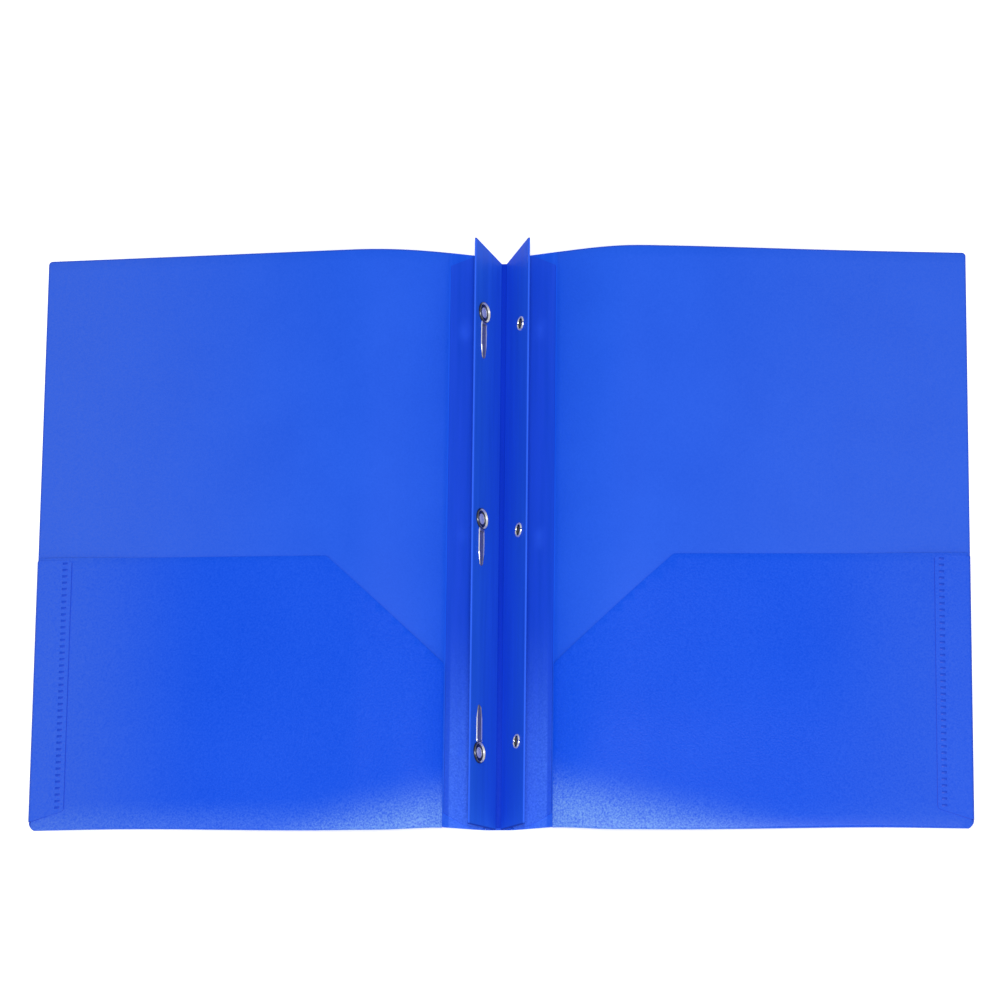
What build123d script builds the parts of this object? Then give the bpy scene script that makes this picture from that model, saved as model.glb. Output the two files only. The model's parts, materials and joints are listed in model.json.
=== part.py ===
from build123d import *
import math
import os

# Two pocket folder, lying open on its back with the spine along Y.
# +X is the right cover, +Y the top edge, and z = 0 the surface that it lies on.
# All lengths are in millimetres, all angles in degrees.

# The body sheet, die-cut and creased from one piece
sheet = 0.5
folder_height = 298.0
spine_width = 12.7
spine_top_notch = 4.0
hinge_panel_width = 22.2
hinge_panel_slope = 20.8
cover_bend_radius = 110.0
cover_flat_width = 158.8
crease_gap = 0.1
top_corner_radius = 2.0
bottom_corner_radius = 4.5

# The pockets, folded up from the bottom edge
pocket_height = 140.0
pocket_mouth_fall = 2.6
pocket_gap = 1.6
pocket_inset = 0.3
pocket_inner_height = 82.5
pocket_slant_width = 59.5
pocket_corner_radius = 2.5

# The seam tabs, folded in from the sides over the pockets and welded
tab_width = 18.0
tab_below_mouth = 1.7
tab_mitre_height = 9.5
tab_corner_radius = 2.0
weld_length = 2.6
weld_width = 1.2
weld_pitch = 3.3
weld_depth = 0.2
weld_inset = 3.3
weld_end_margin = 1.4

# The fastener strip, with a double layer in each wing
strip_sheet = 0.5
strip_end_inset = 1.0
strip_crease_inset = 0.8
flange_score_inset = 0.4
flange_chamfer_width = 12.0
flange_chamfer_height = 6.0
wing_width = 27.5
wing_tip_overhang = 2.0
wing_sheet = 0.5
wing_spread = 3.5
wing_clearance = 0.1
left_wing_angle = 65.5
right_wing_angle = 63.0

# The row of fasteners on the wings
fastener_pitch = 107.95
fastener_height = 18.5
eyelet_fit = 0.05
eyelet_wall = 0.4
tang_ring_diameter = 10.8
tang_ring_dish = 6.0
tang_ring_rise = 1.0
tang_ring_bevel = 0.6
tang_ring_floor = 0.35
tang_ring_shank = 5.0
tang_ring_back_diameter = 8.4
receiver_diameter = 7.4
receiver_bore = 5.4
receiver_rise = 0.7
receiver_bevel = 0.35
receiver_back_diameter = 7.4
receiver_lobes = 6
receiver_slit = 0.35
eyelet_back_rise = 0.4
tang_length = 18.5
tang_width = 5.2
tang_thickness = 0.4
tang_lift = 0.05
tang_root_clearance = 0.2
tang_heel = 0.1
tang_taper_length = 7.0
tang_tip_width = 3.0

# Worked out from the sizes above
bottom = -folder_height / 2
top = folder_height / 2
spine_top = top - spine_top_notch
slope = math.radians(hinge_panel_slope)
crease_x = spine_width / 2
crease_z = sheet
score_x = crease_x + hinge_panel_width * math.cos(slope)
score_z = crease_z + hinge_panel_width * math.sin(slope)
bend_center_x = score_x + cover_bend_radius * math.sin(slope)
bend_center_z = score_z - cover_bend_radius * math.cos(slope)

# The flat part of the cover slopes down so that its outer edge just touches z = 0.
reach = math.hypot(cover_bend_radius - sheet, cover_flat_width)
flat_slope = math.acos(-bend_center_z / reach) - math.atan2(cover_flat_width, cover_bend_radius - sheet)
flat_x = bend_center_x + cover_bend_radius * math.sin(flat_slope)
flat_z = bend_center_z + cover_bend_radius * math.cos(flat_slope)
bend_angle = hinge_panel_slope + math.degrees(flat_slope)

# Folds go round what lies between their two layers.
pocket_fold_radius = pocket_gap / 2 + sheet
tab_fold_radius = (pocket_gap + 3 * sheet) / 2
tab_level = pocket_gap + sheet
tab_top = bottom + pocket_height - tab_below_mouth
tab_edge = cover_flat_width - tab_fold_radius
tab_inner = cover_flat_width - tab_width
pocket_mouth = bottom + pocket_height
pocket_inner_x = score_x + pocket_inset

wing_thickness = 2 * wing_sheet
wing_face = wing_thickness / 2
wing_axis_z = sheet + strip_sheet + wing_face + wing_clearance
tang_root_offset = tang_ring_diameter / 2 + tang_root_clearance + tang_heel

# Planes with local x across the folder, local y along the spine and local z out of the inner face
hinge_plane = Plane((crease_x, 0, crease_z), x_dir=(math.cos(slope), 0, math.sin(slope)),
                    z_dir=(-math.sin(slope), 0, math.cos(slope)))
flat_plane = Plane((flat_x, 0, flat_z), x_dir=(math.cos(flat_slope), 0, -math.sin(flat_slope)),
                   z_dir=(math.sin(flat_slope), 0, math.cos(flat_slope)))
# Planes across the cover, with local x along the spine and local y out of the inner face
score_section = Plane((score_x, 0, score_z), x_dir=(0, 1, 0), z_dir=hinge_plane.x_dir)
flat_section = Plane((flat_x, 0, flat_z), x_dir=(0, 1, 0), z_dir=flat_plane.x_dir)
bend_axis = Axis((bend_center_x, 0, bend_center_z), (0, 1, 0))

row = {"top": fastener_pitch, "middle": 0.0, "bottom": -fastener_pitch}
# The way that each tang points from its ring
tang_way = {"top": -1, "middle": -1, "bottom": 1}


def area(low_x, high_x, low_y, high_y):
    """A rectangle between two corners."""
    place = Pos((low_x + high_x) / 2, (low_y + high_y) / 2)
    return place * Rectangle(high_x - low_x, high_y - low_y)


def slab(plane, outline, low, high):
    """An outline on a plane, thickened between two levels over that plane."""
    return extrude(plane.offset(low) * outline, high - low)


def along_cover(section, flat_length):
    """A section of the cover, carried round the bend and along the flat part."""
    bent = revolve(score_section * section, bend_axis, bend_angle)
    return bent + extrude(flat_section * section, flat_length)


def left_of(shape):
    """The left piece that mirrors a right one."""
    return mirror(shape, about=Plane.YZ)


def spine_panel():
    half = crease_x - crease_gap / 2
    return slab(Plane.XY, area(-half, half, bottom, spine_top), 0, sheet)


def hinge_panel():
    outline = area(crease_gap / 2, hinge_panel_width - crease_gap / 2, bottom, top)
    return slab(hinge_plane, outline, -sheet, 0)


def cover_outline():
    """The flat part with its rounded outer corners, from the bend to the outer edge."""
    outline = area(0, cover_flat_width, bottom, top)
    outer = outline.vertices().sort_by(Axis.X)[-2:].sort_by(Axis.Y)
    outline = fillet(outer[1], top_corner_radius)
    outer = outline.vertices().filter_by(lambda v: v.Y < 0).sort_by(Axis.X)[-1]
    return fillet(outer, bottom_corner_radius)


def cover():
    """The cover panel, stopping short of the bottom fold and of the side fold."""
    fold_line = bottom + pocket_fold_radius
    bent = revolve(score_section * area(fold_line, top, -sheet, 0), bend_axis, bend_angle)
    outline = cover_outline() - area(-sheet, cover_flat_width + sheet, bottom - sheet, fold_line)
    outline -= area(tab_edge, cover_flat_width + sheet, bottom + bottom_corner_radius, tab_top)
    gap = extrude(score_section * area(bottom, top, -2 * sheet, sheet), crease_gap / 2)
    return bent + slab(flat_plane, outline, -sheet, 0) - gap


def pocket_section():
    """The pocket panel, hooked round the bottom fold."""
    middle = Pos(bottom + pocket_fold_radius, pocket_gap / 2)
    ring = middle * (Circle(pocket_fold_radius) - Circle(pocket_gap / 2))
    fold = ring - area(bottom + pocket_fold_radius, 0, -folder_height, folder_height)
    return fold + area(bottom + pocket_fold_radius, pocket_mouth, pocket_gap, pocket_gap + sheet)


def pocket_outline():
    """The pocket from above: the slant from its inner edge, and a mouth that falls a little to the spine."""
    far_x = flat_x + cover_flat_width
    slant_top = (pocket_inner_x + pocket_slant_width, pocket_mouth - pocket_mouth_fall)
    slant_foot = (pocket_inner_x, bottom + pocket_inner_height)
    points = [slant_foot, (pocket_inner_x, bottom - sheet), (far_x, bottom - sheet), (far_x, pocket_mouth)]
    outline = make_face(Polyline(*points, slant_top, close=True))
    for corner in (slant_foot, slant_top):
        vertex = outline.vertices().sort_by_distance(corner)[0]
        outline = fillet(vertex, pocket_corner_radius)
    return outline


def pocket():
    whole = along_cover(pocket_section(), tab_edge)
    lowest, highest = -folder_height, folder_height
    shaped = whole & slab(Plane.XY, pocket_outline(), lowest, highest)
    corner = area(0, cover_flat_width, bottom, top) - cover_outline()
    return shaped - slab(flat_plane, corner, -folder_height, folder_height)


def weld_spots():
    """Centres of the row of weld marks along the tab's inner edge."""
    low = bottom + tab_mitre_height + weld_end_margin
    high = tab_top - weld_end_margin
    count = int((high - low) / weld_pitch) + 1
    start = (low + high - (count - 1) * weld_pitch) / 2
    return [(tab_inner + weld_inset, start + i * weld_pitch) for i in range(count)]


def seam_tab():
    """The tab with its side fold, and the weld marks pressed into it."""
    points = [(tab_inner, bottom + tab_mitre_height), (tab_edge, bottom + bottom_corner_radius)]
    points += [(tab_edge, tab_top), (tab_inner, tab_top)]
    outline = make_face(Polyline(*points, close=True))
    for corner in (points[0], points[-1]):
        vertex = outline.vertices().sort_by_distance(corner)[0]
        outline = fillet(vertex, tab_corner_radius)
    panel = slab(flat_plane, outline, tab_level, tab_level + sheet)
    marks = Sketch() + [Pos(x, y) * Rectangle(weld_length, weld_width) for x, y in weld_spots()]
    panel -= slab(flat_plane, marks, tab_level + sheet - weld_depth, tab_level + 2 * sheet)

    side = Plane(flat_plane.location.position, x_dir=flat_plane.x_dir, z_dir=(0, -1, 0))
    ring = Circle(tab_fold_radius) - Circle(tab_fold_radius - sheet)
    ring -= area(-folder_height, 0, -folder_height, folder_height)
    ring = Pos(tab_edge, tab_level / 2) * ring
    fold = extrude(side.offset(-tab_top) * ring, tab_top - bottom - bottom_corner_radius)
    return panel + fold


def strip_base():
    half = crease_x - strip_crease_inset
    outline = area(-half, half, bottom + strip_end_inset, spine_top)
    return slab(Plane.XY, outline, sheet, sheet + strip_sheet)


def strip_flange():
    """The band beside the spine, with slanted ends at its outer edge."""
    outer = hinge_panel_width - flange_score_inset
    low, high = bottom + strip_end_inset, top - strip_end_inset
    outline = area(strip_crease_inset, outer, low, high)
    for corner in outline.vertices().filter_by(lambda v: v.X > outer / 2):
        inward = -math.copysign(flange_chamfer_height, corner.Y)
        points = [(outer, corner.Y), (outer - flange_chamfer_width, corner.Y), (outer, corner.Y + inward)]
        outline -= make_face(Polyline(*points, close=True))
    return slab(hinge_plane, outline, 0, strip_sheet)


def wing_plane(angle):
    """Middle of a right wing: local x up the wing from its crease, local z out of its inner face."""
    turn = math.radians(angle)
    return Plane((wing_spread / 2, 0, wing_axis_z), x_dir=(math.cos(turn), 0, math.sin(turn)),
                 z_dir=(-math.sin(turn), 0, math.cos(turn)))


def wing(plane, hole_radius, hole_places):
    """A double layer folded over at its free edge, with slanted ends and a row of holes."""
    straight = wing_width - wing_face
    free_low, free_high = bottom - wing_tip_overhang, top + wing_tip_overhang
    points = [(0, bottom), (straight, free_low), (straight, free_high), (0, spine_top)]
    outline = make_face(Polyline(*points, close=True))
    outline -= [Pos(fastener_height, y) * Circle(hole_radius) for y in hole_places]
    edge = Pos(straight, 0, 0) * Rot(90, 0, 0) * Cylinder(wing_face, free_high - free_low)
    return slab(plane, outline, -wing_face, wing_face) + plane * edge


def turned(head, bore, shank, back):
    """A head on the wing's inner face, its shank through the wing and its formed back, turned about local z."""
    body = area(bore, shank, -wing_face, wing_face)
    formed = area(bore, back, -wing_face - eyelet_back_rise, -wing_face)
    return revolve(Plane.XZ * (head + body + formed), Axis.Z, 360)


def bead(inner, outer, rise, bevel):
    """A raised rim with bevelled flanks between two radii, standing on the wing's inner face."""
    crest = wing_face + rise
    points = [(inner, wing_face), (inner + bevel, crest), (outer - bevel, crest), (outer, wing_face)]
    return make_face(Polyline(*points, close=True))


def tang_eyelet():
    """A closed rivet with a raised ring round its dished floor."""
    outer = tang_ring_diameter / 2
    floor = area(0, outer - tang_ring_bevel, wing_face, wing_face + tang_ring_floor)
    ring = bead(tang_ring_dish / 2, outer, tang_ring_rise, tang_ring_bevel)
    return turned(floor + ring, 0, tang_ring_shank / 2, tang_ring_back_diameter / 2)


def receiving_eyelet():
    """A rolled rim, split into lobes where the barrel was turned over."""
    outer = receiver_diameter / 2
    hole = receiver_bore / 2
    rim = bead(hole, outer, receiver_rise, receiver_bevel)
    whole = turned(rim, hole, hole + eyelet_wall, receiver_back_diameter / 2)
    slit = area(hole + eyelet_wall, outer + receiver_slit, -receiver_slit / 2, receiver_slit / 2)
    slits = Sketch() + [Rot(0, 0, 360 / receiver_lobes * i) * slit for i in range(receiver_lobes)]
    return whole - slab(Plane.XY, slits, wing_face, wing_face + 2 * receiver_rise)


def tang():
    """A flat steel tongue with a tapered round tip, lying along local x from its bend line."""
    neck = tang_length - tang_taper_length
    tip_start = tang_length - tang_tip_width / 2
    points = [(-tang_heel, -tang_width / 2), (neck, -tang_width / 2), (tip_start, -tang_tip_width / 2)]
    points += [(x, -y) for x, y in reversed(points)]
    outline = make_face(Polyline(*points, close=True))
    outline += Pos(tip_start, 0) * Circle(tang_tip_width / 2)
    level = wing_face + tang_lift
    return slab(Plane.XY, outline, level, level + tang_thickness)


def fasteners():
    """The pieces on the two wings, with the left ones built on the right and mirrored."""
    left_plane = wing_plane(left_wing_angle)
    right_plane = wing_plane(right_wing_angle)
    ring_y = {name: y - tang_way[name] * tang_root_offset for name, y in row.items()}
    left_hole = tang_ring_shank / 2 + eyelet_fit
    right_hole = receiver_bore / 2 + eyelet_wall + eyelet_fit
    pieces = {"left_wing": left_of(wing(left_plane, left_hole, ring_y.values()))}
    pieces["right_wing"] = wing(right_plane, right_hole, row.values())
    for name, y in row.items():
        ring = left_plane * Pos(fastener_height, ring_y[name], 0) * tang_eyelet()
        pieces[f"tang_eyelet_{name}"] = left_of(ring)
        tongue = left_plane * Pos(fastener_height, y, 0) * Rot(0, 0, 90 * tang_way[name]) * tang()
        pieces[f"tang_{name}"] = left_of(tongue)
        pieces[f"receiving_eyelet_{name}"] = right_plane * Pos(fastener_height, y, 0) * receiving_eyelet()
    return pieces


def folder():
    """Every piece of the folder by its name."""
    pieces = {"spine_panel": spine_panel(), "strip_base": strip_base()}
    sides = {"hinge_panel": hinge_panel(), "cover": cover(), "pocket": pocket(),
             "seam_tab": seam_tab(), "strip_flange": strip_flange()}
    for name, shape in sides.items():
        pieces[f"right_{name}"] = shape
        pieces[f"left_{name}"] = left_of(shape)
    return pieces | fasteners()


os.makedirs("parts", exist_ok=True)
for name, shape in folder().items():
    export_step(shape, f"parts/{name}.step")
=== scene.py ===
import json
import math

import bmesh
import bpy
from mathutils import Matrix, Vector, noise


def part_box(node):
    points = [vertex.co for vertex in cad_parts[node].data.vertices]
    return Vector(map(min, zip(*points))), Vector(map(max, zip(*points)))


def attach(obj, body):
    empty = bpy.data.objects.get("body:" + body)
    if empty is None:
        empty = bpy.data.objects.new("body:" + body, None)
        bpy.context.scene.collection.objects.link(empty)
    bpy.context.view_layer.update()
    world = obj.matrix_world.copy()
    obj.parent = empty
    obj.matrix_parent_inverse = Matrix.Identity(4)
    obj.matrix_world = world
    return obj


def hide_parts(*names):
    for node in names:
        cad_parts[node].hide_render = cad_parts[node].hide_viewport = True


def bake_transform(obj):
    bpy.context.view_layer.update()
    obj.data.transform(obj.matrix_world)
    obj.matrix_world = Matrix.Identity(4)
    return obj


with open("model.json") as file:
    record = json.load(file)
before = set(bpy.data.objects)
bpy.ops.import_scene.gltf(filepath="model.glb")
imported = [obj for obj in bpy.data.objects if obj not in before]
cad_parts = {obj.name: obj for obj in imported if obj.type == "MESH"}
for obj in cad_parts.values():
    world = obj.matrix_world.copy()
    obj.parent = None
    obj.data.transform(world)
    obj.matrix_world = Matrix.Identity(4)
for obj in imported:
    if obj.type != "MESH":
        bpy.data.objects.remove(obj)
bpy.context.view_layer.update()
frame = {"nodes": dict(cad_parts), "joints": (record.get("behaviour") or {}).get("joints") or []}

# The looks of an open two pocket folder: smooth covers and pockets, welded seam tabs, a folded
# fastener strip, and bright steel tangs and eyelets. All lengths are in metres.
MM = 0.001
sheet = 0.5 * MM
cover_bend_radius = 110.0 * MM
cover_flat_width = 158.8 * MM
top_corner_radius = 2.0 * MM
bottom_corner_radius = 4.5 * MM
pocket_height = 140.0 * MM
pocket_mouth_fall = 2.6 * MM
pocket_gap = 1.6 * MM
pocket_inset = 0.3 * MM
pocket_inner_height = 82.5 * MM
pocket_slant_width = 59.5 * MM
pocket_corner_radius = 2.5 * MM

# Seam tabs, their weld marks and the painted shadow line at their foot
tab_width = 18.0 * MM
tab_below_mouth = 1.7 * MM
tab_mitre_height = 9.5 * MM
tab_corner_radius = 2.0 * MM
weld_length = 2.6 * MM
weld_width = 1.2 * MM
weld_pitch = 3.3 * MM
weld_depth = 0.2 * MM
weld_inset = 3.3 * MM
weld_end_margin = 1.4 * MM
weld_round = 0.06 * MM
weld_sunk_share = 0.85
shadow_line_width = 0.7 * MM
shadow_line_lift = 0.03 * MM
shadow_line_end_gap = 0.2 * MM
shadow_line_corner = (0.3, 0.2)
shadow_line_fall_share = 0.7

# Edges and creases of the body sheet
sheet_edge_round = 0.1 * MM
crease_reach = 1.6 * MM
crease_turn = 0.5 * MM
crease_thickness = 0.6 * sheet

# Fastener strip: its folds, the ridge at the foot of the V and the wings
strip_sheet = 0.5 * MM
strip_crease_inset = 0.8 * MM
strip_overlap = 0.6 * MM
strip_fold_thickness = 0.8 * strip_sheet
wing_fold_lift = 0.2 * MM
wing_fold_foot = 1.0 * MM
wing_fold_foot_lift = 0.22 * MM
wing_fold_start = 0.1 * MM
wing_fold_reach = 1.2 * MM
ridge_place = 1.1 * MM
ridge_lift = 0.15 * MM
ridge_half = 0.35 * MM
ridge_shoulder = 0.2 * MM
ridge_shoulder_height = 0.3 * MM
ridge_height = 0.4 * MM
wing_width = 27.5 * MM
wing_tip_overhang = 2.0 * MM
wing_face = 0.5 * MM
right_wing_angle = math.radians(63.0)
fastener_height = 18.5 * MM

# Steel fittings. A ring's dome and back are given as shares of a radius, each with its height or fall.
tang_ring_diameter = 10.8 * MM
tang_ring_dish = 6.0 * MM
tang_ring_floor = 0.35 * MM
tang_ring_rise = 1.0 * MM
tang_ring_back_diameter = 8.4 * MM
tang_ring_crest_share = 0.92
tang_ring_wall = 0.6 * MM
tang_ring_groove = 0.2 * MM
tang_ring_dome = ((0.0, 0.35 * MM), (0.4, 0.3 * MM), (0.75, 0.12 * MM))
tang_ring_back = ((0.95, 0.0), (1.0, 0.3), (0.9, 1.0), (0.62, 1.0), (0.5, 0.4), (0.0, 0.2))
tang_ring_shade = 0.03 * MM
tang_ring_shade_share = 0.9
tang_ring_shade_drop = 0.05 * MM
tang_ring_skirt_inset = 0.1 * MM
tang_ring_skirt_top = 0.8 * tang_ring_rise
tang_ring_skirt_low = 0.4 * tang_ring_rise
receiver_diameter = 7.4 * MM
receiver_bore = 5.4 * MM
receiver_rise = 0.7 * MM
receiver_barrel_rise = 0.3 * receiver_rise
receiver_back_share = 0.95
receiver_lobes = 6
receiver_slit_turn = 0.17
eyelet_wall = 0.4 * MM
eyelet_back_rise = 0.4 * MM
tang_length = 18.5 * MM
tang_width = 5.2 * MM
tang_thickness = 0.4 * MM
tang_taper_length = 7.0 * MM
tang_tip_width = 3.0 * MM
tang_crown = 0.36 * MM
tang_edge_power = 5
tang_edge_round = 0.09 * MM
tang_neck_half = 0.96 * tang_width / 2
tang_neck_thickness = 0.8 * tang_thickness
tang_neck_back = 1.3 * MM
tang_neck_on = 0.9 * MM

# Places that the frame gives, on the right side
joints = {joint["name"]: joint for joint in frame["joints"]}
crease = Vector(joints["right_spine_crease"]["pos_m"])
score = Vector(joints["right_score_crease"]["pos_m"])
wing_axis = Vector(joints["right_wing_crease"]["pos_m"])
panel_low, panel_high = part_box("right_hinge_panel")
bottom, top = panel_low.y, panel_high.y

# The section of the right cover: the way along it and the way out of its inner face
hinge_way = (score - crease).normalized()
hinge_out = Vector((-hinge_way.z, 0, hinge_way.x))
bend_center = score - cover_bend_radius * hinge_out
reach = math.hypot(cover_bend_radius - sheet, cover_flat_width)
flat_slope = math.acos(-bend_center.z / reach) - math.atan2(cover_flat_width, cover_bend_radius - sheet)
flat_way = Vector((math.cos(flat_slope), 0, -math.sin(flat_slope)))
flat_out = Vector((math.sin(flat_slope), 0, math.cos(flat_slope)))
flat_start = bend_center + cover_bend_radius * flat_out
bend_angle = math.atan2(hinge_way.z, hinge_way.x) + flat_slope
pocket_fold_radius = pocket_gap / 2 + sheet
tab_fold_radius = (pocket_gap + 3 * sheet) / 2
tab_level = pocket_gap + sheet
tab_top = bottom + pocket_height - tab_below_mouth
tab_edge = cover_flat_width - tab_fold_radius
tab_inner = cover_flat_width - tab_width
pocket_mouth = bottom + pocket_height
pocket_inner_x = score.x + pocket_inset
outer_x = (flat_start + cover_flat_width * flat_way).x

# How finely the curved sheets are divided
bend_steps = 18
flat_steps = 24
length_steps = 48
pocket_steps = length_steps // 2
spine_steps = length_steps // 4
fold_steps = 8
corner_cuts = 5
ring_steps = 48
bead_steps = 10
lobe_steps = 8
tongue_steps = 26
tongue_cross_steps = 20
neck_steps = 10
edge_segments = 2
edge_angle = math.radians(50)
sharp_angle = math.radians(35)
cut_tolerance = 1e-7
merge_distance = 1e-6

rows = ("top", "middle", "bottom")
sides = {"left": -1, "right": 1}


def along_y(point, y):
    """A point moved to another place along the spine."""
    return Vector((point.x, y, point.z))


def smooth_step(value, low, high):
    """0 below low, 1 above high, and an easy rise between."""
    share = min(1.0, max(0.0, (value - low) / (high - low)))
    return share * share * (3 - 2 * share)


def between(value, rise, fall):
    """1 between a rise and a fall, each given by its two ends, and 0 outside."""
    return smooth_step(value, *rise) * (1 - smooth_step(value, *fall))


def verts_of(geometry):
    """The vertices in what an operator made."""
    return [item for item in geometry if isinstance(item, bmesh.types.BMVert)]


def edges_of(geometry):
    """The edges in what an operator made."""
    return [item for item in geometry if isinstance(item, bmesh.types.BMEdge)]


def whole(bm):
    """All of a mesh, as operators take it."""
    return bm.verts[:] + bm.edges[:] + bm.faces[:]


def chain(bm, points):
    """A line of edges through the points."""
    verts = [bm.verts.new(point) for point in points]
    return [bm.edges.new(pair) for pair in zip(verts, verts[1:])]


def carry(bm, edges, way, steps):
    """Extrudes a line of edges along a way, in equal steps."""
    for _ in range(steps):
        grown = bmesh.ops.extrude_edge_only(bm, edges=edges)["geom"]
        bmesh.ops.translate(bm, verts=verts_of(grown), vec=way / steps)
        edges = edges_of(grown)
    return edges


def carry_round_cover(bm, flat_width):
    """Carries the section line round the cover's bend, and then along its flat part."""
    bent = bmesh.ops.spin(bm, geom=whole(bm), cent=bend_center, axis=(0, 1, 0), dvec=(0, 0, 0),
                          angle=bend_angle, steps=bend_steps)
    carry(bm, edges_of(bent["geom_last"]), flat_way * flat_width, flat_steps)


def trim(bm, point, outward):
    """Cuts off what lies beyond an upright plane."""
    bmesh.ops.bisect_plane(bm, geom=whole(bm), dist=cut_tolerance, plane_co=point, plane_no=outward,
                           clear_outer=True)


def round_corner(bm, corner, first, second, radius):
    """Rounds a corner between two trimmed edges, given by their outward ways."""
    center = corner - radius * (first + second) / (1 + first.dot(second))
    for cut in range(1, corner_cuts + 1):
        outward = first.slerp(second, cut / (corner_cuts + 1))
        trim(bm, center + radius * outward, outward)


def to_side(bm, side):
    """Mirrors a right piece when it is for the left side, and turns all faces one way."""
    if side == "left":
        bmesh.ops.scale(bm, vec=(-1, 1, 1), verts=bm.verts)
    bmesh.ops.recalc_face_normals(bm, faces=bm.faces)


def piece(name, bm, material):
    """A finished piece with its place in its mesh."""
    mesh = bpy.data.meshes.new(name)
    bm.to_mesh(mesh)
    bm.free()
    mesh.shade_smooth()
    mesh.set_sharp_from_angle(angle=sharp_angle)
    mesh.materials.append(material)
    made = bpy.data.objects.new(name, mesh)
    bpy.context.scene.collection.objects.link(made)
    return made


def thicken(made, thickness, edge_round):
    """Gives a sheet its thickness on both sides of its middle, with slightly rounded edges."""
    wall = made.modifiers.new("thickness", "SOLIDIFY")
    wall.thickness = thickness
    wall.offset = 0
    wall.use_even_offset = True
    edge = made.modifiers.new("edge", "BEVEL")
    edge.width = edge_round
    edge.segments = edge_segments
    edge.limit_method = "ANGLE"
    edge.angle_limit = edge_angle
    edge.harden_normals = False
    return made


# The finishes' patterns: scales as grain, cloud and streak, reliefs, and how much each pattern shows
film_scales = (1100.0, 22.0, 160.0)
strip_scales = (1000.0, 30.0, 260.0)
wing_scales = (1100.0, 26.0, 320.0)
draw_line_scale = 2600.0
steel_wear_scale = 420.0
streak_stretch = (1.0, 0.04, 1.0)
draw_lines = (1.0, 0.05, 1.0)
turn_lines = (0.3, 0.3, 1.0)
noise_reach = (0.3, 0.7)
speck_share = 0.2
film_bump = 0.35
strip_bump = 0.25
wing_bump = 0.2
steel_bump = 0.15
strip_depth = 0.03 * MM
steel_depth = 0.02 * MM
sheen_grain = (0.5, 1.1)
highlight_grain = (0.1, 1.1)
low_light_grain = (0.35, 1.0)
fold_highlight_streak = (0.7, 1.0)
film_rough_spread = 0.06
strip_smoother = 0.05
strip_rougher = 0.07
wing_roughness = 0.42
wing_rough_reach = (0.36, 0.5)
wing_specular = 0.05
steel_roughness = 0.2
steel_specular = 0.5
mark_reach = (0.05, 0.6)
mark_share = 0.45
edge_highlight_reach = (0.65, 0.9)


# Node helpers


def feed(tree, socket, value):
    """Links a socket from another one, or sets it to a value."""
    if isinstance(value, bpy.types.NodeSocket):
        tree.links.new(value, socket)
    else:
        socket.default_value = value


def link_in(tree, kind, **inputs):
    """A node with some inputs set, either to a value or linked from another socket."""
    node = tree.nodes.new(kind)
    for name, value in inputs.items():
        feed(tree, node.inputs[name], value)
    return node


def math_node(tree, operation, *values):
    """The result of a sum, product or the like of values and sockets."""
    node = tree.nodes.new("ShaderNodeMath")
    node.operation = operation
    for socket, value in zip(node.inputs, values):
        feed(tree, socket, value)
    return node.outputs[0]


def mix_color(tree, share, first, second):
    """A colour between two, where each is a colour or a socket."""
    node = tree.nodes.new("ShaderNodeMix")
    node.data_type = "RGBA"
    tree.links.new(share, node.inputs["Factor"])
    for socket, value in zip((node.inputs[6], node.inputs[7]), (first, second)):
        feed(tree, socket, value if isinstance(value, bpy.types.NodeSocket) else (*value, 1))
    return node.outputs[2]


def ranged(tree, value, low, high, to_low, to_high, smooth=False):
    """A value between low and high, taken to another range."""
    node = tree.nodes.new("ShaderNodeMapRange")
    node.interpolation_type = "SMOOTHSTEP" if smooth else "LINEAR"
    tree.links.new(value, node.inputs["Value"])
    for name, number in zip(("From Min", "From Max", "To Min", "To Max"), (low, high, to_low, to_high)):
        node.inputs[name].default_value = number
    return node.outputs["Result"]


def spread(tree, pattern, low, high):
    """A pattern's 0 to 1, taken to another range."""
    return ranged(tree, pattern, 0.0, 1.0, low, high)


def axes(tree, place):
    """The X, Y and Z of a place."""
    return link_in(tree, "ShaderNodeSeparateXYZ", Vector=place).outputs


def stretched(tree, vector, scale):
    """Coordinates scaled apart by axis, for streaks."""
    node = tree.nodes.new("ShaderNodeMapping")
    node.inputs["Scale"].default_value = scale
    tree.links.new(vector, node.inputs["Vector"])
    return node.outputs["Vector"]


def along_way(tree, place, way):
    """How far a place lies along a way."""
    node = tree.nodes.new("ShaderNodeVectorMath")
    node.operation = "DOT_PRODUCT"
    node.inputs[1].default_value = way
    tree.links.new(place, node.inputs[0])
    return node.outputs["Value"]


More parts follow.
